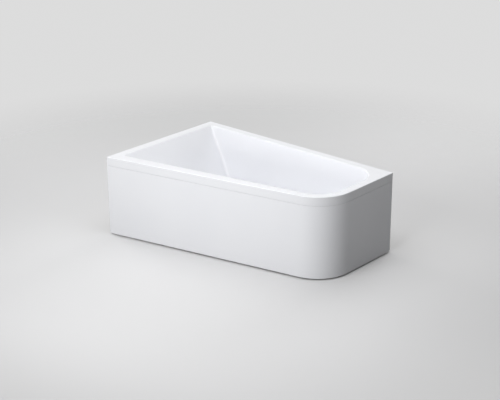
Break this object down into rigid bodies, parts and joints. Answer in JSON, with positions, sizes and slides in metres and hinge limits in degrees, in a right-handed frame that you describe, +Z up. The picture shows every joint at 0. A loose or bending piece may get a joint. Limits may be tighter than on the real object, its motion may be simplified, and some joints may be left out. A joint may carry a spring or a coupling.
{
  "type": "bathtub",
  "caption": "Asymmetric acrylic bathtub with a flat rim, sloped backrest, one-piece rounded panel, levelling feet and pop-up waste with overflow knob.",
  "frame": {"origin": "on the floor, under the middle of the outline's box", "axes": "+X along the back wall from the head end to the foot end, +Y to the back wall, +Z up"},
  "size_m": [1.6, 1, 0.555],
  "materials": {
    "acrylic": "white gloss sanitary acrylic",
    "laminate": "rolled glass-fibre laminate, matt",
    "board": "raw particle board",
    "batten": "planed softwood",
    "zinc_steel": "galvanised sheet steel",
    "fastener": "zinc-plated steel",
    "foot_plastic": "black moulded plastic",
    "chrome": "polished chrome",
    "brass": "turned brass",
    "seal": "black rubber",
    "waste_plastic": "white moulded plastic",
    "cable_sheath": "dark plastic sheath"
  },
  "bodies": {
    "tub": {"base_board": "board", "bath_panel": "acrylic", "cable_clips": "waste_plastic", "captive_nuts": "fastener", "control_cable": "cable_sheath", "drain_body": "waste_plastic", "drain_flange": "chrome", "drain_flange_seal": "seal", "drain_gasket": "seal", "glassfibre_backing": "laminate", "hook_bolts": "fastener", "lever_pin": "brass", "lock_nuts": "fastener", "outlet_pipe": "waste_plastic", "overflow_body": "waste_plastic", "overflow_flange": "chrome", "overflow_gasket": "seal", "overflow_pipe": "waste_plastic", "panel_clip_screws": "fastener", "panel_clips": "zinc_steel", "panel_hook_head": "zinc_steel", "panel_hook_middle": "zinc_steel", "panel_stay_foot": "zinc_steel", "rail_screws": "fastener", "rim_batten_back": "batten", "rim_batten_foot": "batten", "rim_batten_front": "batten", "rim_batten_head": "batten", "support_rail_foot": "zinc_steel", "support_rail_head": "zinc_steel", "trap_bend": "waste_plastic", "trap_inlet_nut": "waste_plastic", "trap_outlet_nut": "waste_plastic", "tub_shell": "acrylic", "wall_hanger_back_left": "zinc_steel", "wall_hanger_back_right": "zinc_steel", "wall_hanger_head": "zinc_steel"},
    "knob": {"overflow_knob": "chrome", "overflow_spindle": "brass"},
    "plug": {"plug_cap": "chrome", "plug_seal": "seal", "plug_stem": "brass"},
    "rocker": {"lift_lever": "waste_plastic"},
    "foot_head_front": {"foot_stud_head_front": "fastener", "foot_pad_head_front": "foot_plastic"},
    "foot_head_back": {"foot_stud_head_back": "fastener", "foot_pad_head_back": "foot_plastic"},
    "foot_foot_front": {"foot_stud_foot_front": "fastener", "foot_pad_foot_front": "foot_plastic"},
    "foot_foot_back": {"foot_stud_foot_back": "fastener", "foot_pad_foot_back": "foot_plastic"}
  },
  "joints": [
    {"name": "knob_turn", "type": "hinge", "parent": "tub", "child": "knob", "pos_m": [0.72178, 0.14575, 0.463], "axis": [-0.9848, 0, 0.1736], "range_deg": [0, 72]},
    {"name": "plug_lift", "type": "slide", "parent": "tub", "child": "plug", "axis": [0, 0, 1], "range_m": [0, 0.011]},
    {"name": "rocker_turn", "type": "hinge", "parent": "tub", "child": "rocker", "pos_m": [0.565, 0.14575, 0.106], "axis": [0, 1, 0], "range_deg": [0, 31.92]},
    {"name": "foot_head_front_height", "type": "slide", "parent": "tub", "child": "foot_head_front", "axis": [0, 0, -1], "range_m": [-0.01, 0.018]},
    {"name": "foot_head_back_height", "type": "slide", "parent": "tub", "child": "foot_head_back", "axis": [0, 0, -1], "range_m": [-0.01, 0.018]},
    {"name": "foot_foot_front_height", "type": "slide", "parent": "tub", "child": "foot_foot_front", "axis": [0, 0, -1], "range_m": [-0.01, 0.018]},
    {"name": "foot_foot_back_height", "type": "slide", "parent": "tub", "child": "foot_foot_back", "axis": [0, 0, -1], "range_m": [-0.01, 0.018]}
  ],
  "couplings": [
    {"joint": "plug_lift", "follows": "knob_turn", "m_per_rad": 0.008753},
    {"joint": "rocker_turn", "follows": "knob_turn", "ratio": 0.44338}
  ]
}
